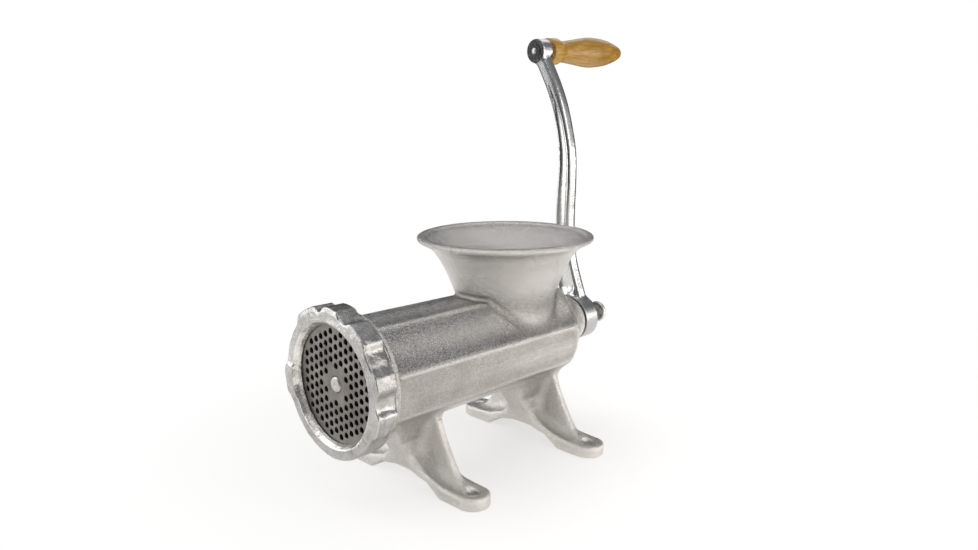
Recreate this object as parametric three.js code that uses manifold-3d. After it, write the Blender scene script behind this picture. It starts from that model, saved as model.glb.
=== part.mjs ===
// Hand crank meat grinder, bench-mounted, size 32.
// Millimetres. +Z up, the plate faces -Y and the crank is at +Y. The origin is on the bench, in the
// middle of the object's box. Inside the main group y runs from the ring nut's front face to the rear.
import * as THREE from 'three';
import { mergeVertices } from 'three/addons/utils/BufferGeometryUtils.js';
import { ConvexGeometry } from 'three/addons/geometries/ConvexGeometry.js';
import Module from 'manifold-3d';

const wasm = await Module();
wasm.setup();

// ---------------------------------------------------------------- driving dimensions
const GAP = 0.3;                      // clearance between pieces that meet
const TOTAL_LENGTH = 413.6;           // ring front to grip tip
const AXIS_HEIGHT = 101.1;            // barrel axis above the bench

// barrel
// the barrel is an eight-sided prism that tapers to the rear: edge radius, and edges in degrees from the top
const BARREL_FRONT = { y: 28, edge: 48.3, edges: [26.6, 76.9, 124.5, 169] };
const BARREL_REAR = { y: 250, edge: 46.5, edges: [26.6, 76.9, 119.5, 168] };
const FACE_CROWN = 0.7;               // how far the flat faces stand out before the edges are rounded
const BORE_R = 38.5;
const BORE_END_Y = 236.2;
const THREAD_R = 53.8;
const THREAD_START_Y = 8.6;
const THREAD_END_Y = 29.5;
const SEAT_R = 49.3;                  // counterbore for the plate and the knife
const SEAT_END_Y = 27;
const BOSS_R = 21.5;
const BOSS_END_Y = 279.5;
const BUSH_OUTER_R = 15.5;
const BUSH_WALL = 3;

// hopper
const HOPPER_Y = 191.3;
const HOPPER_TOP_Z = 195.1;
const HOPPER_R = 78;
const THROAT_R = 37.5;

// feet
const LEG_Y = [84, 225.6];
const FOOT_HOLE_X = 70.2;
const FOOT_HOLE_R = 4.2;
const FOOT_WIDTH = 28;
const WEB_THICKNESS = 6.4;

// ring nut
const RING_R = 58.3;
const RING_LENGTH = 25.5;
const RING_APERTURE_R = 47.5;
const LIP_DEPTH = 7.6;
const LUG_RISE = 4.2;
const LUGS = [[-98, 12], [-27, 14], [5, 10], [38, 12], [76, 8], [107, 10]];   // centre, half width, degrees

// plate
const PLATE_R = 49;
const PLATE_FRONT_Y = LIP_DEPTH + GAP;
const PLATE_THICKNESS = 9;
const HOLE_PITCH = 7.5;
const HOLE_GRID_TURN = 2.9 * Math.PI / 180;
const HOLE_R = 2.45;
const HOLE_SIDES = 6;
const HOLES_INNER_R = 14;
const HOLES_OUTER_R = 44.5;
const KEY_R = 2;
const KEY_RADIUS = 48.9;              // distance of the key's centre from the axis

// stud and knife
const STUD_R = 6.3;
const STUD_FRONT_Y = 6.9;
const STUD_SHANK_R = 4.9;
const STUD_END_Y = 46;
const KNIFE_FRONT_Y = PLATE_FRONT_Y + PLATE_THICKNESS + GAP;
const KNIFE_HUB_LENGTH = 12;
const KNIFE_BLADE_LENGTH = 7.3;
const KNIFE_HUB_R = 15;
const KNIFE_TIP_R = 46.5;
const KNIFE_DRIVE = 15;               // square drive, across flats

// auger
const AUGER_FRONT_Y = 30.5;
const AUGER_REAR_Y = 232.9;
const AUGER_PITCH = 44;
const AUGER_R = BORE_R - 0.6;
const AUGER_CORE_R = 15;
const SHAFT_R = 12;
const TANG = 14;                      // square tang for the crank, across flats
const TANG_END_Y = 297.3;
const SCREW_HOLE_START_Y = 270;

// crank
const HUB_FRONT_Y = 281.5;
const HUB_REAR_Y = 299;
const HUB_R = 21;
const ARM_FRONT_Y = 284.1;
const ARM_THICKNESS = 13.8;
const ARM_HALF_WIDTH = 6.8;             // at the upper end
const ARM_WIDENING = 2.1;               // more half width in the lower half
const ARM_FLARE = 5.2;                  // and more again where it meets the hub
const CHANNEL_DEPTH = 2.4;
const CHANNEL_MARGIN = 3.3;
const CHANNEL_SHIFT = 0.8;              // it lies nearer the arm's hollow side
const CHANNEL_SPAN = [0.115, 0.86];     // share of the arm's length; it narrows to a point at the upper end
const CHANNEL_POINT = 0.74;             // where it starts to narrow
const EYE = { x: -51.2, z: 354.3, r: 11.6, front: 284, rear: 298 };

// spindle and grip
const SPINDLE_R = 4.2;
const SPINDLE_RIVET_R = 7;
const SPINDLE_NECK_R = 5;
const SPINDLE_END_Y = 391;
const GRIP_START_Y = 300.4;

// wing screw
const SCREW_R = 5;
const WASHER_R = 13;
const WASHER_THICKNESS = 2;
const WING_RADIUS = 15;               // centre of each wing from the axis
const WING_LOBE_R = 10;
const WING_ANGLE = 20 * Math.PI / 180;
const WING_THICKNESS = 4;

// ---------------------------------------------------------------- shape helpers
function solid(geometry) {
  const bare = geometry.clone();
  bare.deleteAttribute('normal');
  bare.deleteAttribute('uv');
  const merged = mergeVertices(bare, 1e-4);
  const index = merged.index.array;
  const kept = [];
  for (let i = 0; i < index.length; i += 3) {
    const [a, b, c] = [index[i], index[i + 1], index[i + 2]];
    if (a !== b && b !== c && c !== a) kept.push(a, b, c);
  }
  return new wasm.Manifold(new wasm.Mesh({
    numProp: 3,
    vertProperties: new Float32Array(merged.attributes.position.array),
    triVerts: new Uint32Array(kept),
  }));
}

function geometryOf(body) {
  const mesh = body.getMesh();
  const geometry = new THREE.BufferGeometry();
  geometry.setAttribute('position', new THREE.BufferAttribute(new Float32Array(mesh.vertProperties), 3));
  geometry.setIndex(new THREE.BufferAttribute(new Uint32Array(mesh.triVerts), 1));
  geometry.computeVertexNormals();
  return geometry;
}

const join = (...bodies) => bodies.reduce((sum, body) => sum.add(body));
const cut = (body, ...tools) => tools.reduce((rest, tool) => rest.subtract(tool), body);

// a body of revolution about Y from [radius, y] points, y rising on the outside
function turned(profile, segments = 48) {
  const points = profile.map(([r, y]) => new THREE.Vector2(r, y));
  return solid(new THREE.LatheGeometry(points, segments));
}

function rod(radius, y0, y1, segments = 32) {
  const geometry = new THREE.CylinderGeometry(radius, radius, y1 - y0, segments);
  return solid(geometry.translate(0, (y0 + y1) / 2, 0));
}

function tube(outer, inner, y0, y1, segments = 32) {
  return turned([[inner, y0], [outer, y0], [outer, y1], [inner, y1], [inner, y0]], segments);
}

function post(radius, z0, z1, x, y, segments = 24) {
  const geometry = new THREE.CylinderGeometry(radius, radius, z1 - z0, segments);
  return solid(geometry.rotateX(Math.PI / 2).translate(x, y, (z0 + z1) / 2));
}

function squareBar(size, y0, y1) {
  return solid(new THREE.BoxGeometry(size, y1 - y0, size).translate(0, (y0 + y1) / 2, 0));
}

// an outline in the XZ plane, drawn through its depth from y0 to y1
function slab(shape, y0, y1, curveSegments = 8) {
  const geometry = new THREE.ExtrudeGeometry(shape, { depth: y1 - y0, bevelEnabled: false, curveSegments });
  return solid(geometry.rotateX(Math.PI / 2).translate(0, y1, 0));
}

function outline(points) {
  return new THREE.Shape(points.map(([x, z]) => new THREE.Vector2(x, z)));
}

function mirrored(half) {
  return outline([...half, ...half.slice().reverse().filter(([x]) => x !== 0).map(([x, z]) => [-x, z])]);
}

// a body between horizontal cross-sections, hulled pair by pair
function stacked(sections) {
  const hulls = [];
  for (let i = 0; i + 1 < sections.length; i++) {
    hulls.push(solid(new ConvexGeometry([...sections[i], ...sections[i + 1]])));
  }
  return join(...hulls);
}

const polar = (r, angle) => [r * Math.sin(angle), r * Math.cos(angle)];
const radians = THREE.MathUtils.degToRad;

// ---------------------------------------------------------------- body casting
function barrel() {
  const corners = [BARREL_FRONT, BARREL_REAR].flatMap(({ y, edge, edges }) => edges.flatMap((angle) => {
    const [x, z] = polar(edge + FACE_CROWN, radians(angle));
    return [new THREE.Vector3(x, y, z), new THREE.Vector3(-x, y, z)];
  }));
  const prism = solid(new ConvexGeometry(corners));
  const round = turned([[0, BARREL_FRONT.y], [BARREL_FRONT.edge, BARREL_FRONT.y], [46.8, 227], [46.7, 236],
    [45.4, 240.5], [42.4, 244.5], [36, 248], [29.5, 252], [0, 252]], 35);
  const collar = turned([[0, THREAD_START_Y], [THREAD_R - 1, THREAD_START_Y], [THREAD_R, THREAD_START_Y + 1],
    [THREAD_R, THREAD_END_Y - 1], [THREAD_R - 1, THREAD_END_Y], [46, THREAD_END_Y + 4],
    [0, THREAD_END_Y + 4]]);
  const rear = turned([[0, 235], [35, 235], [36, 248], [29.5, 251.5], [24.5, 257.5], [22.2, 264],
    [BOSS_R, 270], [BOSS_R, BOSS_END_Y - 1], [BOSS_R - 1, BOSS_END_Y], [0, BOSS_END_Y]], 36);
  return join(prism.intersect(round), collar, rear);
}

function standing(profile, segments) {
  const points = profile.map(([r, z]) => new THREE.Vector2(r, z));
  return solid(new THREE.LatheGeometry(points, segments).rotateX(Math.PI / 2).translate(0, HOPPER_Y, 0));
}

function hopperOutside() {
  return standing([[0, 115], [42.8, 115], [43.2, 137], [44.6, 143.3], [48, 151.4], [53.2, 164], [58.6, 175],
    [65, 184], [70.5, 188.4], [75, 191.6], [77.4, 193], [HOPPER_R, 194], [77.2, HOPPER_TOP_Z],
    [0, HOPPER_TOP_Z]], 48);
}

function hopperInside() {
  return standing([[0, AXIS_HEIGHT], [THROAT_R, AXIS_HEIGHT], [THROAT_R, 140], [40.2, 147], [44.2, 155.5],
    [49.4, 167], [54.8, 177.5], [61, 185.2], [69.5, 191], [72.6, 193.6], [73.4, HOPPER_TOP_Z + 0.1],
    [0, HOPPER_TOP_Z + 0.1]], 48);
}

function legPair(y) {
  const strap = slab(mirrored([[0, 27], [14, 22], [27, 17.5], [40, 13.5], [50, 11.8], [69, 11], [85, 11],
    [85, 0], [44, 0], [39.5, 3], [27, 10.4], [13, 16.4], [0, 17.5]]), y - 20, y + 20);
  const plan = new THREE.Shape();
  plan.absarc(FOOT_HOLE_X, 0, FOOT_WIDTH / 2, -Math.PI / 2, Math.PI / 2, false);
  plan.absarc(-FOOT_HOLE_X, 0, FOOT_WIDTH / 2, Math.PI / 2, 3 * Math.PI / 2, false);
  const planBody = solid(new THREE.ExtrudeGeometry(plan,
    { depth: 40, bevelEnabled: false, curveSegments: 12 })
    .translate(0, y, 0));
  const web = slab(mirrored([[0, 75], [30.5, 75], [31.5, 62], [38, 46.5], [47.5, 29.5], [56, 17], [64, 9.5],
    [0, 20]]), y - WEB_THICKNESS / 2, y + WEB_THICKNESS / 2);
  // half width, reach to the front and reach to the rear at each height
  const levels = [[20, 19, 13.5, 13.5], [30, 14, 20, 12], [42, 14, 29, 10], [54, 23, 35, 10],
    [66, 28, 40, 10]];
  const pedestal = stacked(levels.map(([z, halfX, front, back]) => (
    [[-halfX, y - front], [halfX, y - front], [halfX, y + back], [-halfX, y + back]].map(
      ([px, py]) => new THREE.Vector3(px, py, z)))));
  return join(strap.intersect(planBody), web, pedestal);
}

function bodyCasting() {
  const lift = (body) => body.translate([0, 0, AXIS_HEIGHT]);
  const outside = join(lift(barrel()), hopperOutside(), ...LEG_Y.map(legPair));
  const bore = rod(BORE_R, SEAT_END_Y - 1, BORE_END_Y, 36);
  const seat = rod(SEAT_R, THREAD_START_Y - 1, SEAT_END_Y, 48);
  const shaftHole = rod(BUSH_OUTER_R + 0.25, BORE_END_Y - 1, BOSS_END_Y + 1, 32);
  const keyway = solid(new THREE.CylinderGeometry(KEY_R + 0.25, KEY_R + 0.25, 13, 12)
    .translate(0, THREAD_START_Y + 5.5, -KEY_RADIUS));
  const footHoles = LEG_Y.flatMap((y) => [-FOOT_HOLE_X, FOOT_HOLE_X].map(
    (x) => post(FOOT_HOLE_R, -1, 20, x, y)));
  return cut(outside, hopperInside(), lift(bore), lift(seat), lift(shaftHole), lift(keyway), ...footHoles);
}

// ---------------------------------------------------------------- pieces on the barrel axis
function ringNut() {
  const shell = turned([[THREAD_R + GAP, LIP_DEPTH], [46.2, LIP_DEPTH], [RING_APERTURE_R, 0],
    [RING_R - 1.6, 0], [RING_R, 1.6], [RING_R, 17], [57.4, 23], [56.6, RING_LENGTH],
    [THREAD_R + GAP, RING_LENGTH], [THREAD_R + GAP, LIP_DEPTH]], 48);
  const lugs = LUGS.map(([centre, half]) => {
    const steps = [[RING_R - 1.5, -half], [RING_R + LUG_RISE * 0.8, -half + 3],
      [RING_R + LUG_RISE, -half + 6],
      [RING_R + LUG_RISE, half - 6], [RING_R + LUG_RISE * 0.8, half - 3], [RING_R - 1.5, half]];
    return slab(outline(steps.map(([r, degrees]) => polar(r, radians(centre + degrees)))), 0.8, 20);
  });
  return join(shell, ...lugs);
}

function holeCentres() {
  const centres = [];
  const columnStep = HOLE_PITCH * Math.sqrt(3) / 2;
  const reach = Math.ceil(PLATE_R / columnStep);
  for (let column = -reach; column <= reach; column++) {
    for (let row = -reach; row <= reach; row++) {
      const x = column * columnStep;
      const z = (row + (Math.abs(column) % 2) / 2) * HOLE_PITCH;
      const distance = Math.hypot(x, z);
      if (distance < HOLES_INNER_R || distance > HOLES_OUTER_R) continue;
      const centre = new THREE.Vector2(x, z).rotateAround(new THREE.Vector2(), -HOLE_GRID_TURN);
      centres.push([centre.x, centre.y]);
    }
  }
  return centres;
}

function grindingPlate() {
  const rear = PLATE_FRONT_Y + PLATE_THICKNESS;
  const centre = rod(STUD_R + 0.35, PLATE_FRONT_Y - 1, rear + 1, 24);
  const notch = rod(KEY_R + 0.35, PLATE_FRONT_Y - 1, rear + 1, 12).translate([0, 0, -KEY_RADIUS]);
  const perforations = holeCentres().map(
    ([x, z]) => rod(HOLE_R, PLATE_FRONT_Y - 1, rear + 1, HOLE_SIDES).translate([x, 0, z]));
  return cut(rod(PLATE_R, PLATE_FRONT_Y, rear, 48), centre, notch, ...perforations);
}

function knife() {
  const front = KNIFE_FRONT_Y;
  const blades = [0, 1, 2, 3].map((i) => {
    const turn = (point) => new THREE.Vector2(...point).rotateAround(new THREE.Vector2(), i * Math.PI / 2);
    return slab(new THREE.Shape([[5, -7.5], [KNIFE_TIP_R - 1, -3.5], [KNIFE_TIP_R, 5], [40, 6.5], [5, 6.5]]
      .map(turn)), front, front + KNIFE_BLADE_LENGTH);
  });
  const hub = rod(KNIFE_HUB_R, front, front + KNIFE_HUB_LENGTH, 32);
  return cut(join(hub, ...blades), squareBar(KNIFE_DRIVE + 2 * GAP, front - 1, front + 20));
}

function augerStud() {
  return turned([[0, STUD_FRONT_Y], [STUD_R - 0.8, STUD_FRONT_Y], [STUD_R, STUD_FRONT_Y + 0.8],
    [STUD_R, KNIFE_FRONT_Y], [STUD_SHANK_R, KNIFE_FRONT_Y], [STUD_SHANK_R, STUD_END_Y],
    [0, STUD_END_Y]], 24);
}

function auger() {
  const base = radians(31);
  const tip = radians(19);
  const section = [];
  for (let i = 0; i <= 8; i++) {
    section.push(polar(AUGER_CORE_R, base + (2 * Math.PI - 2 * base) * i / 8));
  }
  section.push(polar(AUGER_CORE_R + 11, 2 * Math.PI - (base + tip) / 2));
  for (let i = 0; i <= 4; i++) section.push(polar(AUGER_R, -tip + 2 * tip * i / 4));
  section.push(polar(AUGER_CORE_R + 11, (base + tip) / 2));
  const length = AUGER_REAR_Y - AUGER_FRONT_Y;
  const screw = new THREE.ExtrudeGeometry(outline(section), {
    depth: length, bevelEnabled: false, steps: Math.round(12 * length / AUGER_PITCH) });
  const position = screw.attributes.position;
  const vertex = new THREE.Vector3();
  for (let i = 0; i < position.count; i++) {
    vertex.fromBufferAttribute(position, i);
    vertex.applyAxisAngle(new THREE.Vector3(0, 0, 1), -2 * Math.PI * vertex.z / AUGER_PITCH);
    position.setXYZ(i, vertex.x, vertex.y, vertex.z);
  }
  const flight = solid(screw.rotateX(Math.PI / 2).translate(0, AUGER_REAR_Y, 0));
  const drive = squareBar(KNIFE_DRIVE, KNIFE_FRONT_Y + GAP, AUGER_FRONT_Y + 1);
  const shaft = rod(SHAFT_R, AUGER_REAR_Y - 1, HUB_FRONT_Y - GAP, 32);
  const tang = squareBar(TANG, HUB_FRONT_Y - 1, TANG_END_Y);
  const studHole = rod(STUD_SHANK_R + 0.25, 0, STUD_END_Y + 1, 24);
  const screwHole = rod(SCREW_R + 0.25, SCREW_HOLE_START_Y, TANG_END_Y + 1, 24);
  return cut(join(flight, drive, shaft, tang), studHole, screwHole);
}

// ---------------------------------------------------------------- crank
const armLine = new THREE.SplineCurve([[0, 0], [-8.6, 29], [-14.6, 64], [-16.3, 97], [-14.5, 135],
  [-14.5, 157], [-17.5, 176], [-23.6, 199], [-31.9, 219], [-41.1, 236],
  [EYE.x, EYE.z - AXIS_HEIGHT]].map(([x, z]) => new THREE.Vector2(x, z)));

function armHalfWidth(height) {
  return ARM_HALF_WIDTH + ARM_WIDENING * (1 - THREE.MathUtils.smoothstep(height, 100, 205))
    + ARM_FLARE * (1 - THREE.MathUtils.smoothstep(height, 15, 66));
}

function armOutline(from, to, inset = 0, shift = 0, narrowing = () => 1) {
  const count = 36;
  const sides = [[], []];
  for (let i = 0; i <= count; i++) {
    const t = from + (to - from) * i / count;
    const centre = armLine.getPointAt(t);
    const across = armLine.getTangentAt(t).rotateAround(new THREE.Vector2(), Math.PI / 2);
    const half = (armHalfWidth(centre.y) - inset) * narrowing(t);
    sides[0].push(centre.clone().addScaledVector(across, shift + half));
    sides[1].unshift(centre.clone().addScaledVector(across, shift - half));
  }
  return new THREE.Shape([...sides[0], ...sides[1]]);
}

function crankArm() {
  const rear = ARM_FRONT_Y + ARM_THICKNESS;
  const arm = slab(armOutline(0.02, 0.985), ARM_FRONT_Y, rear);
  const [start, end] = CHANNEL_SPAN;
  const channel = armOutline(start, end, CHANNEL_MARGIN, CHANNEL_SHIFT,
    (t) => 1.08 - THREE.MathUtils.smoothstep(t, CHANNEL_POINT, end));
  const channels = [slab(channel, ARM_FRONT_Y - 1, ARM_FRONT_Y + CHANNEL_DEPTH),
    slab(channel, rear - CHANNEL_DEPTH, rear + 1)];
  const hub = turned([[0, HUB_FRONT_Y], [HUB_R - 0.8, HUB_FRONT_Y], [HUB_R, HUB_FRONT_Y + 0.8],
    [HUB_R, HUB_REAR_Y - 0.8], [HUB_R - 0.8, HUB_REAR_Y], [0, HUB_REAR_Y]], 40);
  const atEye = (body) => body.translate([EYE.x, 0, EYE.z - AXIS_HEIGHT]);
  const eye = atEye(rod(EYE.r, EYE.front, EYE.rear, 32));
  const eyeHole = atEye(rod(SPINDLE_NECK_R + GAP, EYE.front - 1, EYE.rear + 1, 24));
  const square = squareBar(TANG + 2 * GAP, HUB_FRONT_Y - 1, HUB_REAR_Y + 1);
  return cut(join(cut(arm, ...channels), hub, eye), eyeHole, square);
}

function wingScrew() {
  const front = HUB_REAR_Y + 2 * GAP + WASHER_THICKNESS;
  const shank = rod(SCREW_R, SCREW_HOLE_START_Y + 1, front + 1, 24);
  const collar = turned([[0, front], [9.5, front], [9.5, front + 2.5], [8, front + 4.5], [7.4, front + 9],
    [5.5, front + 10.5], [0, front + 10.5]], 32);
  const wings = [0, 1].map((i) => {
    const angle = Math.PI / 2 - WING_ANGLE + i * Math.PI;
    const [cx, cz] = polar(WING_RADIUS, angle);
    const y0 = front + 1.6;
    const lobe = rod(WING_LOBE_R, y0, y0 + WING_THICKNESS, 28).translate([cx, 0, cz]);
    const neck = slab(outline([[4, -0.3], [18, -0.34], [18, 0.34], [4, 0.3]].map(
      ([r, turn]) => polar(r, angle + turn))), y0, y0 + WING_THICKNESS);
    return join(lobe, neck);
  });
  return join(shank, collar, ...wings);
}

// ---------------------------------------------------------------- spindle and grip, about their own axis
function spindle() {
  const front = EYE.front - GAP;
  return turned([[0, front - 2.2], [SPINDLE_RIVET_R - 2, front - 2.2], [SPINDLE_RIVET_R, front - 0.9],
    [SPINDLE_RIVET_R, front], [SPINDLE_NECK_R, front], [SPINDLE_NECK_R, EYE.rear], [SPINDLE_R, EYE.rear],
    [SPINDLE_R, SPINDLE_END_Y], [0, SPINDLE_END_Y]], 24);
}

function grip() {
  const bulge = new THREE.SplineCurve([[10.4, 325], [12.2, 340], [14.4, 357], [14.7, 368], [13.3, 384],
    [10.7, 396], [8.3, 404], [6.2, 409.3], [4.2, 412.4]].map(([r, y]) => new THREE.Vector2(r, y)));
  const outside = turned([[0, GRIP_START_Y], [11.7, GRIP_START_Y], [12.7, 301.6], [12.7, 312.4], [11.8, 314],
    [10.6, 317], [10.2, 321], ...bulge.getPoints(11).map((p) => [p.x, p.y]), [2, TOTAL_LENGTH],
    [0, TOTAL_LENGTH]], 24);
  return cut(outside, rod(SPINDLE_R + 0.4, GRIP_START_Y - 1, SPINDLE_END_Y + 1.5, 24));
}

// ---------------------------------------------------------------- assembly
const metal = (color, roughness) => new THREE.MeshStandardMaterial({ color, roughness, metalness: 1 });
const finishes = {
  tinned: metal(0xb9b5ae, 0.42),
  tinnedBright: metal(0xc4c1bc, 0.32),
  plateSteel: metal(0x77706a, 0.38),
  knifeSteel: metal(0x8e8c88, 0.3),
  nickel: metal(0xc9c9c6, 0.18),
  bush: metal(0x9a7b45, 0.4),
  fibre: new THREE.MeshStandardMaterial({ color: 0x5a3b28, roughness: 0.8 }),
  wood: new THREE.MeshStandardMaterial({ color: 0xc98a3c, roughness: 0.45 }),
};

function piece(name, body, material) {
  const mesh = new THREE.Mesh(geometryOf(body), material);
  mesh.name = name;
  return mesh;
}

const onBench = piece('body_casting', bodyCasting(), finishes.tinned);

const onAxis = new THREE.Group();
onAxis.position.set(0, 0, AXIS_HEIGHT);
const keyPin = piece('plate_key', rod(KEY_R, THREAD_START_Y + 0.4, THREAD_START_Y + 11.6, 12),
  finishes.knifeSteel);
keyPin.position.set(0, 0, -KEY_RADIUS);
onAxis.add(
  keyPin,
  piece('rear_bush', tube(BUSH_OUTER_R, BUSH_OUTER_R - BUSH_WALL, BORE_END_Y + GAP, BOSS_END_Y),
    finishes.bush),
  piece('ring_nut', ringNut(), finishes.tinnedBright),
  piece('grinding_plate', grindingPlate(), finishes.plateSteel),
  piece('knife', knife(), finishes.knifeSteel),
  piece('auger_stud', augerStud(), finishes.knifeSteel),
  piece('auger', auger(), finishes.tinned),
  piece('thrust_washer', tube(26, SHAFT_R + GAP, AUGER_REAR_Y + GAP, BORE_END_Y - GAP), finishes.fibre),
  piece('crank_arm', crankArm(), finishes.nickel),
  piece('crank_washer', tube(WASHER_R, SCREW_R + GAP, HUB_REAR_Y + GAP, HUB_REAR_Y + GAP + WASHER_THICKNESS),
    finishes.nickel),
  piece('wing_screw', wingScrew(), finishes.nickel),
);

const onSpindle = new THREE.Group();
onSpindle.position.set(EYE.x, 0, EYE.z);
onSpindle.add(
  piece('grip_spindle', spindle(), finishes.nickel),
  piece('grip_washer', tube(9.5, SPINDLE_R + GAP, EYE.rear + GAP, GRIP_START_Y - GAP), finishes.nickel),
  piece('grip', grip(), finishes.wood),
);

const group = new THREE.Group();
group.position.set(0, -TOTAL_LENGTH / 2, 0);
group.add(onBench, onAxis, onSpindle);

export default group;
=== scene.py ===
"""Hand crank meat grinder: the detailed meshes and materials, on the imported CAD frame.

Shapes are sampled as distance fields in millimetres, in the grinder's own coordinates: y runs from the
ring nut's front face to the grip's tip, and z is the height above the bench. They are meshed in metres.
"""

import math
import random
from contextlib import contextmanager

import bmesh
import bpy
import numpy as np
import openvdb
from mathutils import Matrix, Vector
from mathutils.geometry import delaunay_2d_cdt


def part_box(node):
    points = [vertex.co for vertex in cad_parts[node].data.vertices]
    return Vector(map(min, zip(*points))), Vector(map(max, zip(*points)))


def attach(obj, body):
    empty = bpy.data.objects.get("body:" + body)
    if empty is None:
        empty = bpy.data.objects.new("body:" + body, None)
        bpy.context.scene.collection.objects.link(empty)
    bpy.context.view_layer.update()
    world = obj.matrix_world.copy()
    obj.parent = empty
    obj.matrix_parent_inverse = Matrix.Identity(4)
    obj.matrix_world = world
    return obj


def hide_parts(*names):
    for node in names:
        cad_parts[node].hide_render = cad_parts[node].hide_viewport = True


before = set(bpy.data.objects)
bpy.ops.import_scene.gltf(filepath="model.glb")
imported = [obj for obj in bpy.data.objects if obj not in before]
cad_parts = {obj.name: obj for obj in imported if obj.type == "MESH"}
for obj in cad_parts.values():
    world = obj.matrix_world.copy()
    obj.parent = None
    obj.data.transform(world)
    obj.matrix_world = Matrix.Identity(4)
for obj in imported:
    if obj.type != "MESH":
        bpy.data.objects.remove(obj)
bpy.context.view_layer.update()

MM = 0.001
START_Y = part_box("ring_nut")[0].y / MM  # the ring nut's front face
AXIS_Z = 101.1  # the barrel's axis above the bench
GAP = 0.3
random.seed(11)

# ---- sizes that several pieces share
SEAT_R, SEAT_END = 49.3, 27.0
BORE_R, BORE_END = 38.5, 236.2
THREAD_R, THREAD_START, THREAD_END = 53.8, 8.6, 29.5
THREAD_PITCH, THREAD_DEPTH = 4.0, 1.7
BOSS_R, BOSS_END = 21.5, 279.5
BUSH_R, SHAFT_R = 15.5, 12.0
KEY_R, KEY_RADIUS, KEY_FRONT, KEY_END = 2.0, 48.9, 9.0, 20.2  # KEY_RADIUS: from the axis
RING_R, RING_LENGTH, LIP_DEPTH = 58.3, 25.5, 7.6
PLATE_R, PLATE_FRONT, PLATE_THICKNESS = 49.0, 7.9, 9.0
PLATE_REAR = PLATE_FRONT + PLATE_THICKNESS
HUB_FRONT, HUB_REAR, HUB_R = 281.5, 299.0, 21.0
EYE_X, EYE_Z, EYE_R, EYE_FRONT, EYE_REAR = -51.2, 354.3, 11.6, 284.0, 298.0
AXIS, EYE = (0.0, AXIS_Z), (EYE_X, EYE_Z)
WASHER_REAR = HUB_REAR + GAP + 2.0
SPINDLE_R, SPINDLE_NECK_R, SPINDLE_END = 4.2, 5.0, 391.0
GRIP_START = 300.4


# ---- distance fields
def catmull(points, per_span=10):
    """Points along the smooth curve through the given ones."""
    p = np.array(points, float)
    p = np.vstack([2 * p[0] - p[1], p, 2 * p[-1] - p[-2]])
    out = []
    for i in range(1, len(p) - 2):
        for t in np.arange(per_span) / per_span:
            a, b, c, d = p[i - 1], p[i], p[i + 1], p[i + 2]
            out.append(0.5 * (2 * b + (c - a) * t + (2 * a - 5 * b + 4 * c - d) * t**2
                              + (3 * b - a - 3 * c + d) * t**3))
    out.append(p[-2])
    return [tuple(q) for q in out]


def polygon(u, v, points):
    """Signed distance from each (u, v) to a closed outline: negative inside."""
    u, v = np.broadcast_arrays(np.asarray(u, np.float32), np.asarray(v, np.float32))
    nearest = np.full(u.shape, 1e9, np.float32)
    inside = np.zeros(u.shape, bool)
    for (ax, ay), (bx, by) in zip(points, points[1:] + points[:1]):
        ex, ey = bx - ax, by - ay
        length = ex * ex + ey * ey
        if length < 1e-12:
            continue
        wx, wy = u - ax, v - ay
        t = np.clip((wx * ex + wy * ey) / length, 0, 1)
        nearest = np.minimum(nearest, (wx - ex * t) ** 2 + (wy - ey * t) ** 2)
        if ay != by:
            crossing = ((ay <= v) & (v < by)) | ((by <= v) & (v < ay))
            inside ^= crossing & (u < ax + (v - ay) * ex / ey)
    return np.where(inside, -np.sqrt(nearest), np.sqrt(nearest))


def union(a, b, radius):
    """a and b joined with a fillet of that radius."""
    a, b = np.asarray(a, np.float32), np.asarray(b, np.float32)
    hollow = np.hypot(np.maximum(radius - a, 0), np.maximum(radius - b, 0))
    return np.maximum(radius, np.minimum(a, b)) - hollow


def common(a, b, radius):
    """What a and b share, with its new edge rounded to that radius."""
    return -union(-a, -b, radius)


def cut(a, tool, radius):
    """a without the tool, the new edge rounded to that radius."""
    return common(a, -tool, radius)


def soft_max(a, b, width):
    """What a and b share, blended over that width."""
    blend = np.maximum(width - np.abs(a - b), 0)
    return np.maximum(a, b) + blend * blend / (4 * width)


def mirrored(half):
    """A closed outline from its right half."""
    return half + [(-x, z) for x, z in reversed(half) if abs(x) > 1e-6]


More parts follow.
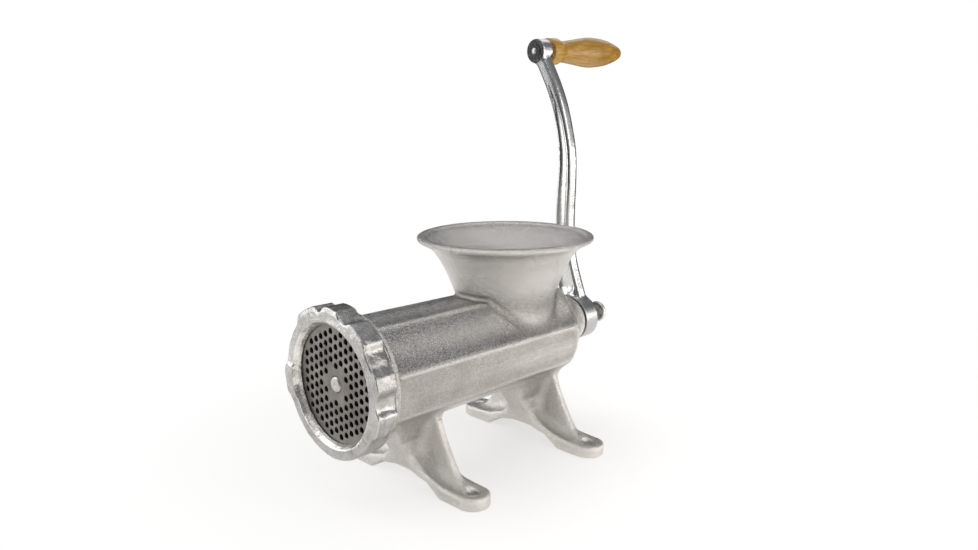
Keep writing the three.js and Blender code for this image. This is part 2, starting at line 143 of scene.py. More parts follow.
class Block:
    """A block of sample points, as three arrays that broadcast together."""

    TABLE_STEP = 0.1

    def __init__(self, low, high, fine, quick):
        self.low, self.step = np.array(low, np.float32), fine
        counts = np.ceil((np.array(high) - low) / self.step).astype(int) + 1
        axes = [(start + self.step * np.arange(n)).astype(np.float32) for start, n in zip(low, counts)]
        self.x, self.y, self.z = np.meshgrid(*axes, indexing="ij", sparse=True)
        self.up = self.z - AXIS_Z

    def turned(self, profile, centre=AXIS):
        """A body turned about a line along y, from (radius, y) points."""
        radius = np.hypot(self.x - centre[0], self.z - centre[1])[:, 0, :]
        table = self.profile_table(radius.max(), self.y[0, :, 0], profile)
        return np.moveaxis(self.look_up(table, radius), 2, 1)

    def standing(self, profile, y):
        """A body turned about a vertical line at that y, from (radius, z) points."""
        radius = np.hypot(self.x, self.y - y)[:, :, 0]
        table = self.profile_table(radius.max(), self.z[0, 0, :], profile)
        return self.look_up(table, radius)

    def profile_table(self, reach, along, profile):
        """The distance to the turned body, by radius and by place along its axis."""
        outline = profile + [(-r, y) for r, y in reversed(profile) if r > 0]
        radii = np.arange(0, reach + 2 * self.TABLE_STEP, self.TABLE_STEP)
        return polygon(radii[:, None], along[None, :], outline)

    def look_up(self, table, radius):
        """The table's rows at those radii, interpolated."""
        row = radius / self.TABLE_STEP
        low = row.astype(int)
        share = (row - low).astype(np.float32)[..., None]
        return table[low] * (1 - share) + table[low + 1] * share

    def slab(self, flat, y0, y1, rounding):
        """A flat field in x and z drawn from y0 to y1, its two outlines rounded."""
        return common(flat, np.abs(self.y - (y0 + y1) / 2) - (y1 - y0) / 2, rounding)

    def along(self, direction):
        """How far each sample lies in that direction."""
        return direction[0] * self.x + direction[1] * self.y + direction[2] * self.z

    def waves(self, size, count=7):
        """A slow unevenness between 0 and 1."""
        total = 0
        for _ in range(count):
            direction = np.array([random.gauss(0, 1) for _ in range(3)])
            direction *= 2 * math.pi / (size * random.uniform(0.7, 1.5) * np.linalg.norm(direction))
            phase = self.along(direction) + random.uniform(0, 7)
            total = total + np.sin(phase.astype(np.float32))
        return 0.5 + 0.5 * total / count

    def mesh(self, name, field, spread=3):
        """The field's surface as a mesh object, with how far each point stands proud as 'edge'."""
        field = np.ascontiguousarray(field, np.float32)
        grid = openvdb.FloatGrid(background=float(self.step * 4))
        grid.copyFromArray(np.clip(field, -self.step * 4, self.step * 4))
        points, triangles, quads = grid.convertToPolygons(isovalue=0.0, adaptivity=0.0)
        blurred = field
        for axis in range(3):
            blurred = box_blur(blurred, spread, axis)
        proud = sampled(blurred - field, points) / self.step
        points = points * self.step + self.low
        faces = [tuple(f) for f in triangles.tolist()] + [tuple(f) for f in quads.tolist()]
        obj = mesh_object(name, points, faces)
        obj.data.shade_smooth()
        give(obj, "edge", proud)
        return obj


def sampled(field, points):
    """The field at points given in samples, interpolated between its eight neighbours."""
    base = np.clip(np.floor(points).astype(int), 0, np.array(field.shape) - 2)
    share = points - base
    total = 0
    for corner in np.ndindex(2, 2, 2):
        weight = np.prod(np.where(corner, share, 1 - share), axis=1)
        total = total + weight * field[tuple((base + corner).T)]
    return total


def box_blur(field, reach, axis):
    """The mean over that many samples to either side along one axis."""
    sums = np.cumsum(field, axis=axis, dtype=np.float64)
    count = field.shape[axis]
    high = np.minimum(np.arange(count) + reach, count - 1)
    low = np.maximum(np.arange(count) - reach - 1, 0)
    width = (high - low).astype(np.float32)
    shape = [1, 1, 1]
    shape[axis] = count
    return ((np.take(sums, high, axis) - np.take(sums, low, axis)) / width.reshape(shape)).astype(np.float32)


# ---- meshes
def linked(name, data):
    """A new object of the scene."""
    obj = bpy.data.objects.new(name, data)
    bpy.context.scene.collection.objects.link(obj)
    return obj


def mesh_object(name, points, faces):
    """A mesh object from points in millimetres and faces, its faces turned outward."""
    placed = (np.asarray(points, float) + (0, START_Y, 0)) * MM
    mesh = bpy.data.meshes.new(name)
    mesh.from_pydata([tuple(p) for p in placed.tolist()], [], faces)
    mesh.validate()
    obj = linked(name, mesh)
    if enclosed(mesh) < 0:
        mesh.flip_normals()
    return obj


def give(obj, name, values):
    """Stores one number at each point, for the material to read."""
    layer = obj.data.attributes.new(name, "FLOAT", "POINT")
    layer.data.foreach_set("value", np.asarray(values, np.float32))


def triples(items, key, kind=float):
    """That three-part property of every item, one row each."""
    values = np.empty(len(items) * 3, kind)
    items.foreach_get(key, values)
    return values.reshape(-1, 3)


def surface(obj):
    """The points in the grinder's own millimetres, and their normals."""
    points = obj.data.vertices
    return triples(points, "co") / MM - (0, START_Y, 0), triples(points, "normal")


def smooth_step(value, low, high):
    t = np.clip((value - low) / (high - low), 0, 1)
    return t * t * (3 - 2 * t)


def enclosed(mesh):
    """The volume inside the mesh, negative if its faces look inward."""
    mesh.calc_loop_triangles()
    corners = triples(mesh.loop_triangles, "vertices", int)
    a, b, c = triples(mesh.vertices, "co")[corners].transpose(1, 0, 2)
    return float(np.einsum("ij,ij->i", a, np.cross(b, c)).sum()) / 6


@contextmanager
def editing(obj):
    """The object's mesh, open for changes and put back afterwards."""
    work = bmesh.new()
    work.from_mesh(obj.data)
    yield work
    work.to_mesh(obj.data)
    work.free()


def finish_edges(obj, degrees=38):
    """Smooth shading, broken at the edges that are sharper than that."""
    with editing(obj) as work:
        for face in work.faces:
            face.smooth = True
        for edge in work.edges:
            edge.smooth = len(edge.link_faces) == 2 and edge.calc_face_angle(0) < math.radians(degrees)
    return obj


def softened(profile, radius, steps=4, closed=False):
    """The outline with its corners rounded, except where it ends on the axis."""
    out = []
    count = len(profile)
    for i, point in enumerate(profile):
        if not closed and i in (0, count - 1):
            out.append(point)
            continue
        here = np.array(point, float)
        sides = [np.array(profile[j], float) - here for j in (i - 1, (i + 1) % count)]
        lengths = [np.linalg.norm(side) for side in sides]
        reach = min(radius, 0.45 * min(lengths))
        start, end = (here + side / length * reach for side, length in zip(sides, lengths))
        for k in range(steps + 1):
            t = k / steps
            out.append(tuple((1 - t) ** 2 * start + 2 * t * (1 - t) * here + t**2 * end))
    return out


def skin(rings):
    """Faces from each ring of point numbers to the next. A ring may be one point many times over."""
    faces = []
    for a, b in zip(rings, rings[1:]):
        for k in range(len(a)):
            j = (k + 1) % len(a)
            corners = tuple(dict.fromkeys((a[k], a[j], b[j], b[k])))
            if len(corners) > 2:
                faces.append(corners)
    return faces


def lathed(name, profile, centre=AXIS, segments=96, closed=False, rounding=0.3):
    """A piece turned about a line along y, from (radius, y) points, its corners rounded."""
    points, rings = [], []
    for r, y in softened(profile, rounding, 3, closed) if rounding else profile:
        count = segments if r > 0 else 1
        rings.append([len(points) + k % count for k in range(segments)])
        angles = [2 * math.pi * k / segments for k in range(count)]
        points += [(centre[0] + r * math.sin(a), y, centre[1] + r * math.cos(a)) for a in angles]
    faces = skin(rings + rings[:1] if closed else rings)
    return finish_edges(mesh_object(name, points, faces))


def ring_of(name, outer, inner, y0, y1, centre=AXIS):
    return lathed(name, [(inner, y0), (outer, y0), (outer, y1), (inner, y1)], centre, closed=True)


def joined(name, objects):
    """One object from several."""
    first = objects[0]
    with bpy.context.temp_override(active_object=first, selected_editable_objects=objects,
                                   selected_objects=objects):
        bpy.ops.object.join()
    first.name = name
    return first


def bevelled_copy(name, node, width):
    """The CAD node's mesh with its edges eased."""
    obj = linked(name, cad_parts[node].data.copy())
    obj.data.materials.clear()
    with editing(obj) as work:
        bmesh.ops.remove_doubles(work, verts=work.verts, dist=0.00002)
        bmesh.ops.dissolve_limit(work, angle_limit=math.radians(2), verts=work.verts, edges=work.edges)
        hard = [e for e in work.edges if len(e.link_faces) == 2 and e.calc_face_angle(0) > math.radians(35)]
        bmesh.ops.bevel(work, geom=hard, offset=width * MM, segments=2, profile=0.5, affect="EDGES",
                        clamp_overlap=True)
    return finish_edges(obj)


def place(obj, node, body, slot):
    """The piece stands for that CAD node, moves with its body and takes its finish from the slot."""
    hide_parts(node)
    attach(obj, body)
    obj.data.materials.clear()
    obj.data.materials.append(MATERIALS[slot])


# ---- materials
class Nodes:
    """A short way to build a node tree. An input is a value or another node's output."""

    def __init__(self, owner, coordinates="Object"):
        self.owner = owner
        owner.use_nodes = True
        self.tree = owner.node_tree
        self.tree.nodes.clear()
        self.where = self.add("TexCoord").outputs[coordinates]

    def add(self, kind, inputs=None, **settings):
        node = self.tree.nodes.new("ShaderNode" + kind)
        for key, value in settings.items():
            setattr(node, key, value)
        for key, value in (inputs or {}).items():
            if isinstance(value, bpy.types.NodeSocket):
                self.tree.links.new(value, node.inputs[key])
            else:
                node.inputs[key].default_value = value
        return node

    def stretched(self, scale):
        return self.add("Mapping", {"Vector": self.where, "Scale": scale}).outputs["Vector"]

    def noise(self, scale, detail=3.0, roughness=0.55, where=None, distortion=0.0):
        return self.add("TexNoise", {"Vector": where or self.where, "Scale": scale, "Detail": detail,
                                     "Roughness": roughness, "Distortion": distortion}).outputs["Fac"]

    def remap(self, value, low, high, to_low=0.0, to_high=1.0):
        return self.add("MapRange", {"Value": value, "From Min": low, "From Max": high,
                                     "To Min": to_low, "To Max": to_high}, clamp=True).outputs["Result"]

    def fade(self, value, low, high, top=1.0):
        return self.add("MapRange", {"Value": value, "From Min": low, "From Max": high, "To Max": top},
                        interpolation_type="SMOOTHSTEP").outputs["Result"]

    def attribute(self, name):
        return self.add("Attribute", attribute_name=name).outputs["Fac"]

    def total(self, a, b):
        return self.add("Math", {0: a, 1: b}, operation="ADD").outputs[0]

    def product(self, a, b):
        return self.add("Math", {0: a, 1: b}, operation="MULTIPLY").outputs[0]

    def larger(self, a, b):
        return self.add("Math", {0: a, 1: b}, operation="MAXIMUM").outputs[0]

    def mix(self, share, a, b, blend="MIX"):
        a, b = (c if isinstance(c, bpy.types.NodeSocket) else (*c, 1.0) for c in (a, b))
        return self.add("Mix", {0: share, 6: a, 7: b}, data_type="RGBA", blend_type=blend).outputs[2]

    def bump(self, height, depth, under=None):
        below = {"Normal": under} if under else {}
        return self.add("Bump", {"Height": height, "Distance": depth, "Strength": 1.0, **below}).outputs[0]

    def finish(self, color, roughness, normal, **values):
        shader = self.add("BsdfPrincipled", {"Base Color": color, "Roughness": roughness, "Normal": normal})
        for key, value in values.items():
            shader.inputs[key.replace("_", " ")].default_value = value
        self.add("OutputMaterial", {"Surface": shader.outputs[0]})
        return self.owner

    def blend(self, share, a, b):
        return self.add("MixShader", {0: share, 1: a, 2: b}).outputs[0]

    def by_ray(self, seen, met):
        """One shader for what the camera sees and one for everything else."""
        return self.blend(self.add("LightPath").outputs["Is Camera Ray"], met, seen)


def cast_tin(name, dark, light, wear_and_sheen, rough, speckle, grain_depth, dents, edges, edge_wear_and_sheen, sunk):
    """Tinned cast iron: sandy where 'grain' says so, lifted towards a light grey by painted light where the
    mesh asks for it, with slow dents, wiped patches, edges brightened partly by wear and partly by a painted
    highlight, and hollows by a painted reflection."""
    n = Nodes(bpy.data.materials.new(name))
    edge, sandy, painted_light = n.attribute("edge"), n.attribute("grain"), n.attribute("painted_light")
    proud = n.remap(edge, *edges)
    # Painted reflection: sunk seams take the light edge tone by the 'sunk' share, standing in for reflections
    # between the parts.
    hollow = n.remap(edge, -0.8, -0.2, sunk, 0.0)
    grain = n.noise(1050.0, 3.0, 0.8)
    pits = n.noise(1700.0, 2.0, 0.6)
    patches = n.noise(24.0, 6.0, 0.68, distortion=0.5)
    tone = n.mix(n.remap(patches, 0.34, 0.66), dark, light)
    # Painted light: this light grey lifts the tone where the mesh asks, standing in for light the surface
    # reflects.
    tone = n.mix(n.product(painted_light, n.remap(patches, 0.3, 0.7, 0.72, 0.98)), tone, (0.88, 0.855, 0.815))
    cool = n.mix(n.remap(sandy, 0.3, 1.0, 0.1, 0.75), tone, (0.40, 0.40, 0.402))
    darker = n.mix(1.0, cool, (0.28, 0.28, 0.287), "MULTIPLY")
    lighter = n.mix(0.6, cool, (0.92, 0.93, 0.94))
    sand = n.mix(n.remap(grain, 0.43, 0.59), darker, lighter)
    tone = n.mix(n.remap(sandy, 0.0, 1.0, 0.2 * speckle, speckle), tone, sand)
    # Edges that stand proud take this light tone partly as wear and partly as a painted highlight; sunk seams
    # take it as a painted reflection.
    tone = n.mix(n.larger(n.product(proud, edge_wear_and_sheen), hollow), tone, wear_and_sheen)
    roughness = n.total(n.remap(patches, 0.34, 0.7, rough[1], rough[0]), n.product(proud, -0.1))
    roughness = n.total(roughness, n.remap(pits, 0.4, 0.7, 0.07, -0.07))
    height = n.product(grain, n.remap(sandy, 0.0, 1.0, 0.3, 1.0))
    normal = n.bump(n.noise(dents[0], 3.0, 0.5), dents[1])
    return n.finish(tone, roughness, n.bump(height, grain_depth, under=normal), Metallic=1.0)


ALONG, ROUND = (1.0, 8.0, 1.0), (8.0, 1.0, 8.0)  # how a machined face's marks are squeezed


def machined(name, dark, light, rough, mark_scale):
    """Ground or turned metal with fine marks and a little staining."""
    n = Nodes(bpy.data.materials.new(name))
    stain = n.noise(55.0, 5.0, 0.6)
    marks = n.noise(60.0, 4.0, 0.6, n.stretched(mark_scale))
    tone = n.mix(n.remap(stain, 0.35, 0.7), dark, light)
    roughness = n.total(n.remap(stain, 0.35, 0.7, rough[1], rough[0]), n.remap(marks, 0.3, 0.7, -0.04, 0.04))
    return n.finish(tone, roughness, n.bump(marks, 0.0001), Metallic=1.0)


def nickel(name, tint, rough, wave_depth):
    """Plated forging: bright and slightly wavy, with painted shade in its hollows, darker and rougher where
    'dull' says so as worn plating and painted shade, softer where 'satin' does."""
    n = Nodes(bpy.data.materials.new(name))
    edge, dull_and_shaded, satin = n.attribute("edge"), n.attribute("dull_and_shaded"), n.attribute("satin")
    hollow = n.remap(edge, -0.8, -0.1, 1.0, 0.0)
    haze = n.noise(70.0, 5.0, 0.65)
    orange = n.noise(420.0, 3.0, 0.6)
    speck = n.noise(1300.0, 3.0, 0.75)
    tone = n.mix(n.remap(haze, 0.35, 0.7), tuple(0.88 * c for c in tint), tint)
    # Painted shade: the hollows are darkened towards near black.
    tone = n.mix(n.product(hollow, 0.6), tone, (0.10, 0.10, 0.10))
    tone = n.mix(satin, tone, (0.40, 0.40, 0.405))
    # Dull faces: rough, speckled worn plating, its dark tone partly painted shade standing in for the dark
    # room these faces reflect.
    tone = n.mix(dull_and_shaded, tone, n.mix(n.remap(speck, 0.47, 0.66), (0.028, 0.029, 0.03), (0.19, 0.192, 0.198)))
    roughness = n.total(n.remap(haze, 0.35, 0.7, rough[1], rough[0]), n.product(hollow, 0.1))
    roughness = n.total(roughness, n.product(n.larger(dull_and_shaded, satin), 0.25))
    normal = n.bump(orange, wave_depth, under=n.bump(n.noise(60.0, 2.0), 0.0003))
    normal = n.bump(n.product(speck, dull_and_shaded), 0.0005, under=normal)
    return n.finish(tone, roughness, normal, Metallic=1.0)


def wood(name):
    """Varnished beech, its wavy grain along the grip, browner in streaks and towards the tip."""
    n = Nodes(bpy.data.materials.new(name))
    rings = n.noise(30.0, 4.0, 0.6, n.stretched((6.0, 0.55, 6.0)), 1.2)
    fibres = n.noise(240.0, 3.0, 0.6, n.stretched((3.0, 0.14, 3.0)))
    flecks = n.noise(420.0, 2.0, 0.6, n.stretched((1.8, 0.35, 1.8)))
    streaks = n.noise(44.0, 4.0, 0.6, n.stretched((1.6, 0.5, 1.6)), 0.8)
    along = n.add("SeparateXYZ", {"Vector": n.where}).outputs["Y"]
    tip = n.remap(along, (350 + START_Y) * MM, (405 + START_Y) * MM, 0.12, 0.75)
    tone = n.mix(n.remap(rings, 0.38, 0.60), (0.36, 0.185, 0.022), (0.56, 0.325, 0.05))
    tone = n.mix(n.remap(fibres, 0.42, 0.7, 0.0, 0.6), tone, (0.29, 0.14, 0.016))
    tone = n.mix(n.product(n.remap(streaks, 0.46, 0.66), tip), tone, (0.20, 0.085, 0.012))
    tone = n.mix(n.remap(flecks, 0.62, 0.72, 0.0, 0.5), tone, (0.17, 0.075, 0.012))
    roughness = n.remap(fibres, 0.3, 0.7, 0.32, 0.46)
    return n.finish(tone, roughness, n.bump(fibres, 0.00012), Coat_Weight=0.3, Coat_Roughness=0.14,
                    Specular_IOR_Level=0.45)


def fibre(name):
    """Pressed fibre."""
    n = Nodes(bpy.data.materials.new(name))
    weave = n.noise(500.0, 3.0, 0.6)
    tone = n.mix(n.remap(weave, 0.35, 0.65), (0.075, 0.035, 0.018), (0.15, 0.078, 0.04))
    return n.finish(tone, 0.75, n.bump(weave, 0.0002))


MATERIALS = {
    "tinned_casting": cast_tin(
        "tinned_casting", dark=(0.285, 0.272, 0.253), light=(0.44, 0.422, 0.395), wear_and_sheen=(0.84, 0.82, 0.79),
        rough=(0.20, 0.34), speckle=0.95, grain_depth=0.0016, dents=(70.0, 0.0006), edges=(0.10, 0.36),
        edge_wear_and_sheen=0.7, sunk=0.35),
    "ring_casting": cast_tin(
        "ring_casting", dark=(0.30, 0.297, 0.289), light=(0.56, 0.553, 0.54), wear_and_sheen=(0.84, 0.83, 0.81),
        rough=(0.12, 0.27), speckle=0.4, grain_depth=0.0004, dents=(70.0, 0.0026), edges=(0.5, 1.5),
        edge_wear_and_sheen=0.3, sunk=0.0),
    "auger_casting": cast_tin(
        "auger_casting", dark=(0.26, 0.25, 0.24), light=(0.40, 0.39, 0.375), wear_and_sheen=(0.6, 0.59, 0.57),
        rough=(0.34, 0.5), speckle=0.5, grain_depth=0.0006, dents=(90.0, 0.0004), edges=(0.1, 0.7),
        edge_wear_and_sheen=0.6, sunk=0.0),
    "plate_steel": machined("plate_steel", (0.16, 0.149, 0.141), (0.255, 0.239, 0.225), (0.36, 0.5), ALONG),
    "tool_steel": machined("tool_steel", (0.42, 0.415, 0.405), (0.6, 0.59, 0.575), (0.26, 0.38), ALONG),
    "bush_bronze": machined("bush_bronze", (0.38, 0.22, 0.075), (0.52, 0.33, 0.13), (0.28, 0.42), ROUND),
    "washer_fibre": fibre("washer_fibre"),
    "nickel_plate": nickel("nickel_plate", (0.66, 0.665, 0.67), (0.07, 0.17), 0.00022),
    "screw_plate": nickel("screw_plate", (0.82, 0.82, 0.81), (0.26, 0.40), 0.0002),
    "grip_wood": wood("grip_wood"),
}


# ---- the casting
BARREL_FRONT = (28, 48.3, [26.6, 76.9, 124.5, 169.0])  # y, how far out its edges are, and their
BARREL_REAR = (250, 46.5, [26.6, 76.9, 119.5, 168.0])  # angles from the top
BARREL_CROWN = 0.6  # how far its faces stand out before the edges are blended
HOPPER_Y, HOPPER_TOP = 191.3, 195.1
LEG_Y = (84.0, 225.6)
FOOT_HOLE_X, FOOT_HOLE_R, FOOT_TOP, FOOT_R = 70.2, 4.2, 11.0, 14.0
WEB_HALF = 3.2


def polar(radius, degrees):
    """x and height above the axis, at that angle from the top."""
    return radius * math.sin(math.radians(degrees)), radius * math.cos(math.radians(degrees))


def barrel_faces(block):
    """The barrel's eight faces between its edges at the front and at the rear."""
    ends = []
    for y, edge, angles in (BARREL_FRONT, BARREL_REAR):
        around = [polar(edge + BARREL_CROWN, a) for a in angles + [-a for a in reversed(angles)]]
        ends.append([np.array([x, y, AXIS_Z + up]) for x, up in around])
    front, rear = ends
    field = None
    for i, corner in enumerate(front):
        j = (i + 1) % len(front)
        middle = (corner + front[j]) / 2
        normal = np.cross(front[j] - corner, (rear[i] + rear[j]) / 2 - middle)
        normal /= np.linalg.norm(normal)
        if normal @ (middle - np.array([0, middle[1], AXIS_Z])) < 0:
            normal = -normal
        plane = (block.along(normal) - normal @ middle).astype(np.float32)
        field = plane if field is None else soft_max(field, plane, 1.9)
    return field


def threaded(block, radius, y0, y1, inward):
    """A cylinder along the barrel's axis whose surface carries the right-hand thread."""
    turn = np.arctan2(block.x, block.up) / (2 * math.pi)
    wave = 0.5 + 0.5 * np.cos(2 * math.pi * (block.y / THREAD_PITCH - turn))
    depth = THREAD_DEPTH * wave * (-1 if inward else 1)
    side = np.hypot(block.x, block.up) - (radius + depth)
    return np.maximum(side * 0.85, np.abs(block.y - (y0 + y1) / 2) - (y1 - y0) / 2).astype(np.float32)


def leg_pair(block, y):
    """Two feet on an arched strap, with a web across it and a hollow-sided pedestal under the barrel."""
    top = catmull([(0, 27), (14, 22), (27, 17.5), (40, 13.5), (50, 11.8), (69, 11), (92, 11)], 6)
    sole = catmull([(44, 0), (39.5, 3), (27, 10.4), (13, 16.4), (0, 17.5)], 6)
    side_view = polygon(block.x, block.z, mirrored(top + [(92, 0)] + sole))
    plan = np.hypot(np.maximum(np.abs(block.x) - FOOT_HOLE_X, 0), block.y - y) - FOOT_R
    strap = common(side_view, plan, 1.8)
    web_side = catmull([(31.5, 62), (38, 46.5), (47.5, 29.5), (56, 17), (64, 9.5)], 6)
    web = polygon(block.x, block.z, mirrored([(0, 80), (30.5, 80), (31, 68)] + web_side + [(0, 9)]))
    web = block.slab(web, y - WEB_HALF, y + WEB_HALF, WEB_HALF / 2)
    heights = [14, 20, 30, 42, 54, 66, 80]
    half_x = np.interp(block.z, heights, [20, 18.5, 14.5, 15, 21, 27, 31])
    front = np.interp(block.z, heights, [11, 13.5, 20, 28, 35, 40, 44])
    back = np.interp(block.z, heights, [11, 13, 12, 10.5, 10, 10, 10])
    along = np.maximum(y - front - block.y, block.y - y - back)
    pedestal = soft_max(np.abs(block.x) - half_x, along, 6.0) * 0.9
    pedestal = np.maximum(pedestal, np.abs(block.z - 51) - 37).astype(np.float32)
    return union(union(strap, pedestal, 9.0), web, 8.0)


def barrel(block):
    """The barrel with its rounded rear end and the boss behind it."""
    ends = block.turned([(0, 27.5), (60, 27.5), (60, 215), (47.6, 233), (46.7, 237), (45.4, 240.5),
                         (42.4, 244.5), (36, 248), (29.5, 252), (0, 252)])
    boss = block.turned(softened([(0, 236), (34, 236), (36, 248), (29.5, 251.5), (24.5, 257.5), (22.2, 264),
                                  (BOSS_R, 270), (BOSS_R, BOSS_END - 0.2), (0, BOSS_END - 0.2)], 1.2))
    return union(soft_max(barrel_faces(block), ends, 1.2), boss, 3.0)


def funnel(block):
    """The hopper's outside: a neck, a flare and a rounded lip."""
    flare = catmull([(42.8, 115), (42.9, 126), (43.5, 136), (45.1, 143.6), (48.2, 152), (53.2, 164),
                     (58.6, 174.5), (64.6, 182.8), (69.8, 186.8), (73.8, 188.8)], 6)
    lip = [(76.2, 190.0), (77.6, 191.6), (77.75, 193.2), (76.9, 194.5), (75.2, HOPPER_TOP - 0.1)]
    return block.standing([(0, 112), (42.8, 112)] + flare + lip + [(0, HOPPER_TOP - 0.1)], HOPPER_Y)


def bowl(block):
    """The hopper's inside, down into the barrel."""
    flare = catmull([(37.5, 140), (40.2, 147), (44.2, 155.5), (49.4, 167), (54.8, 177.5), (61, 185.4),
                     (68.2, 191.2), (70.4, 193.2)], 5)
    above = [(71.8, HOPPER_TOP + 1), (71.8, 215), (0, 215)]
    return block.standing([(0, AXIS_Z - 4), (37.5, AXIS_Z - 4), (37.5, 138)] + flare + above, HOPPER_Y)


def front_thread(block):
    """The threaded collar that the ring nut screws on, and the neck that carries it."""
    neck = block.turned([(0, THREAD_START + 1), (46, THREAD_START + 1), (46.5, THREAD_END),
                         (0, THREAD_END + 3.2)])
    ends = block.turned([(0, THREAD_START + 0.1), (51, THREAD_START + 0.1), (55.5, THREAD_START + 3.2),
                         (55.5, THREAD_END - 1.6), (52, THREAD_END), (0, THREAD_END)])
    thread = threaded(block, THREAD_R - THREAD_DEPTH - 0.1, THREAD_START, THREAD_END, False)
    return np.minimum(neck, common(thread, ends, 0.5))


def barrel_inside(block):
    """The plate's seat, the shaft's hole and the key's slot."""
    seat = block.turned([(0, SEAT_END), (SEAT_R, SEAT_END), (SEAT_R, 0), (0, 0)])
    bush_hole = BUSH_R + 0.25
    shaft = block.turned([(0, 300), (bush_hole, 300), (bush_hole, 200), (0, 200)])
    slot = np.hypot(block.x, block.up + KEY_RADIUS) - KEY_R - GAP
    return np.minimum(np.minimum(seat, shaft), np.maximum(slot, block.y - KEY_END - 0.4))


def casting():
    block = Block((-87.5, 5.5, -3.0), (87.5, 283.0, 198.5), fine=1.15, quick=2.0)
    body = union(barrel(block), funnel(block), 3.0)
    body = union(body, np.minimum(*(leg_pair(block, y) for y in LEG_Y)), 6.0)
    body = union(body, front_thread(block), 2.2)
    body = body + 0.22 * block.waves(38)
    body = cut(body, bowl(block), 0.9)
    body = cut(body, block.turned([(0, BORE_END), (BORE_R, BORE_END), (BORE_R, 0), (0, 0)]), 1.0)
    body = cut(body, barrel_inside(block), 0.4)
    for y in LEG_Y:
        hole = np.hypot(np.abs(block.x) - FOOT_HOLE_X, block.y - y) - FOOT_HOLE_R
        hole = hole + np.clip(FOOT_TOP - 1.4 - block.z, -1.6, 0)
        body = cut(body, np.maximum(hole, block.z - 2 * FOOT_TOP), 0.7)
    body = np.maximum(body, 0.12 - block.z)
    obj = block.mesh("casting_look", body)
    p, normal = surface(obj)
    radius = np.hypot(p[:, 0], p[:, 2] - AXIS_Z)
    on_barrel = (radius > 43) & (radius < 52) & (p[:, 1] > 30) & (p[:, 1] < 243)
    upper = smooth_step(normal[:, 2], 0.16, 0.34)
    from_hopper = smooth_step(np.hypot(p[:, 0], p[:, 1] - HOPPER_Y), 46, 68)
    low = 1 - smooth_step(p[:, 2], 60, 82)
    underneath = smooth_step(-normal[:, 2], -0.1, 0.15) * (p[:, 2] < AXIS_Z + 8)
    give(obj, "grain", np.where(on_barrel, 0.22 + upper * (0.14 + 0.64 * from_hopper), 0.42 - 0.24 * low))
    # Painted light: the legs and the faces turned down below the axis are lifted towards a light grey,
    # standing in for the floor light they reflect.
    give(obj, "painted_light", np.maximum(low, 0.32 * underneath))
    return obj


# ---- the ring nut
LUGS = [(-98, 12), (-27, 14), (5, 10), (38, 12), (76, 8), (107, 10)]  # centre and half width, degrees
LUG_RISE = 4.1
RAISED = [(-113, -86), (-43, 29), (137, 147)]  # the degrees where the front face stands proud
FACE_LOW, FACE_HIGH = 1.25, 0.2  # y of the front face elsewhere and there


def degrees_from(turn, centre):
    return np.abs((turn - centre + 180) % 360 - 180)


def ring_nut():
    block = Block((-66, -2, AXIS_Z - 66), (66, 28, AXIS_Z + 66), fine=0.62, quick=1.2)
    radius = np.hypot(block.x, block.up)
    turn = np.degrees(np.arctan2(block.x, block.up))
    body = block.turned([(0, 0.2), (55.8, 0.2), (57.4, 0.8), (RING_R - 0.1, 2.4), (RING_R - 0.1, 15.5),
                         (58.0, 18.6), (57.5, 20.6), (56.2, 21.3), (56.2, 21.9), (57.2, 22.6), (56.9, 23.8),
                         (55.8, 24.5), (55.8, RING_LENGTH - 0.1), (0, RING_LENGTH - 0.1)])
    for centre, half in LUGS:
        sides = (degrees_from(turn, centre) - half) * radius * math.pi / 180
        lug = common(sides * 0.75, radius - RING_R - LUG_RISE, 3.4)
        lug = common(lug, np.abs(block.y - 10.5) - 9.6, 1.4)
        body = union(body, np.maximum(lug, 50 - radius), 3.6)
    face = np.full(turn.shape, FACE_LOW, np.float32)
    for low, high in RAISED:
        outside = degrees_from(turn, (low + high) / 2) - (high - low) / 2
        face = np.minimum(face, FACE_HIGH + (FACE_LOW - FACE_HIGH) * smooth_step(outside, 0, 4))
    body = common(body, face - block.y, 0.7)
    body = body + 0.6 * block.waves(20) + 0.35 * block.waves(10)
    opening = block.turned([(0, -5), (53, -5), (50.1, 0.6), (47.3, 4.6), (46.2, LIP_DEPTH), (46.2, 40),
                            (0, 40)])
    body = cut(body, opening, 0.6)
    body = np.maximum(body, -threaded(block, THREAD_R + GAP + 0.1 + THREAD_DEPTH, LIP_DEPTH, 60, True))
    mouth = block.turned([(0, RING_LENGTH - 2.2), (54.2, RING_LENGTH - 2.2), (56.2, RING_LENGTH + 0.4),
                          (56.2, 40), (0, 40)])
    obj = block.mesh("ring_look", cut(body, mouth, 0.3))
    p, _ = surface(obj)
    lip = 1 - smooth_step(np.hypot(p[:, 0], p[:, 2] - AXIS_Z), 49.5, 50.5)
    give(obj, "grain", np.full(len(p), 0.4))
    # Painted light: the ring's inner lip is lifted towards a light grey, standing in for a reflection.
    give(obj, "painted_light", lip * (p[:, 1] < LIP_DEPTH - 0.3))
    return obj


# ---- the plate and the stud
HOLE_R, HOLE_PITCH, HOLE_GRID_TURN = 2.45, 7.5, math.radians(2.9)
HOLES_FROM, HOLES_TO = 14.0, 44.5
STUD_R, STUD_SHANK_R, STUD_FRONT, STUD_END = 6.3, 4.9, 6.9, 46.0


def hole_centres():
    step = HOLE_PITCH * math.sqrt(3) / 2
    reach = math.ceil(PLATE_R / step)
    cos, sin = math.cos(HOLE_GRID_TURN), math.sin(HOLE_GRID_TURN)
    for column in range(-reach, reach + 1):
        for row in range(-reach, reach + 1):
            x, z = column * step, (row + (abs(column) % 2) / 2) * HOLE_PITCH
            if HOLES_FROM <= math.hypot(x, z) <= HOLES_TO:
                yield x * cos + z * sin, z * cos - x * sin


